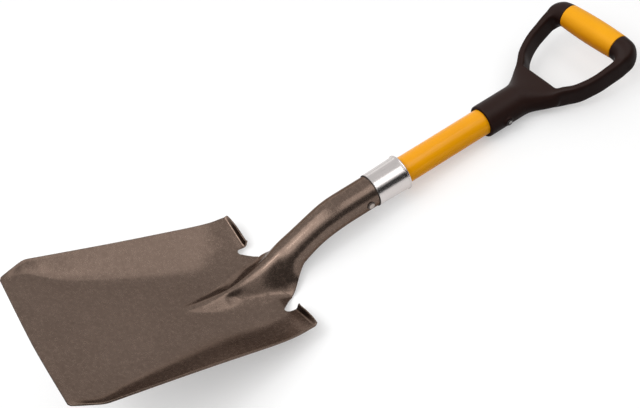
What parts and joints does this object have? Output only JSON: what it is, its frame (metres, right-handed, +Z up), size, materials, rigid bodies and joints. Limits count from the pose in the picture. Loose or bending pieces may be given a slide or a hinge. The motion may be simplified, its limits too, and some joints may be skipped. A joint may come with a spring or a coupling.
{
  "type": "scoop shovel",
  "caption": "Short shovel with a broad pressed steel pan between raised wings, a cranked socket neck, ferrule, tubular shaft and moulded D-handle.",
  "frame": {"origin": "centre of the bounding box in plan, on the surface the shovel lies on", "axes": "+Y along the tool from the mouth of the pan to the grip, +Z up with the face of the pan upwards, X across the tool"},
  "size_m": [0.1978, 0.6834, 0.1299],
  "materials": {
    "bronze_paint": "satin bronze paint with fine metal flake",
    "rivet_steel": "steel painted over with the head",
    "ferrule_aluminium": "bare, drawn and lightly brushed",
    "shaft_yellow": "glossy yellow, glass fibre under a smooth skin",
    "plug_wood": "plain turned wood",
    "handle_black": "satin brown-black moulding",
    "grip_amber": "soft satin amber sleeve",
    "screw_zinc": "bright zinc plated"
  },
  "bodies": {
    "root": {"head": "bronze_paint", "socket_rivet": "rivet_steel", "ferrule": "ferrule_aluminium", "shaft": "shaft_yellow", "core_plug": "plug_wood", "d_handle": "handle_black", "grip_sleeve": "grip_amber", "handle_screw": "screw_zinc"}
  },
  "joints": []
}
